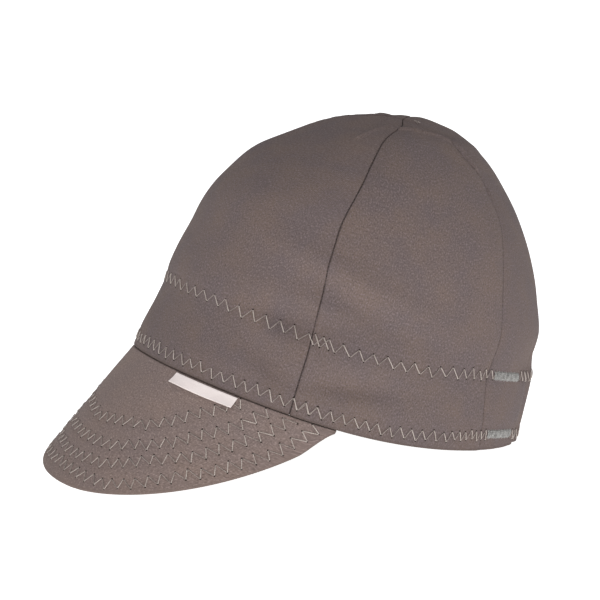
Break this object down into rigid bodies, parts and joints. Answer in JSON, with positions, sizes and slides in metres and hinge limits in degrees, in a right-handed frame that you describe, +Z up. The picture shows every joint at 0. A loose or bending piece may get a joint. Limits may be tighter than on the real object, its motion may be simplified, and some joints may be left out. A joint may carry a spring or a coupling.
{
  "type": "welding cap",
  "caption": "Soft twill welding cap: four-panel crown, inner band, short row-stitched brim and a blank label tab, resting on its brim and back rim.",
  "frame": {"origin": "on the surface that the cap rests on, under the middle of its box", "axes": "+Z up, -Y towards the wearer's front (the brim), +X towards the wearer's left (the label)"},
  "size_m": [0.1646, 0.2576, 0.1652],
  "materials": {
    "twill": "matte warm grey-brown cotton twill",
    "band_twill": "matte warm grey-brown cotton twill, inside",
    "label_ribbon": "matte off-white woven ribbon, blank",
    "thread": "light grey sewing thread, slight sheen"
  },
  "bodies": {
    "root": {"crown_front_panel": "twill", "crown_left_panel": "twill", "crown_back_panel": "twill", "crown_right_panel": "twill", "inner_band": "band_twill", "brim": "twill", "label_tab": "label_ribbon"}
  },
  "joints": []
}
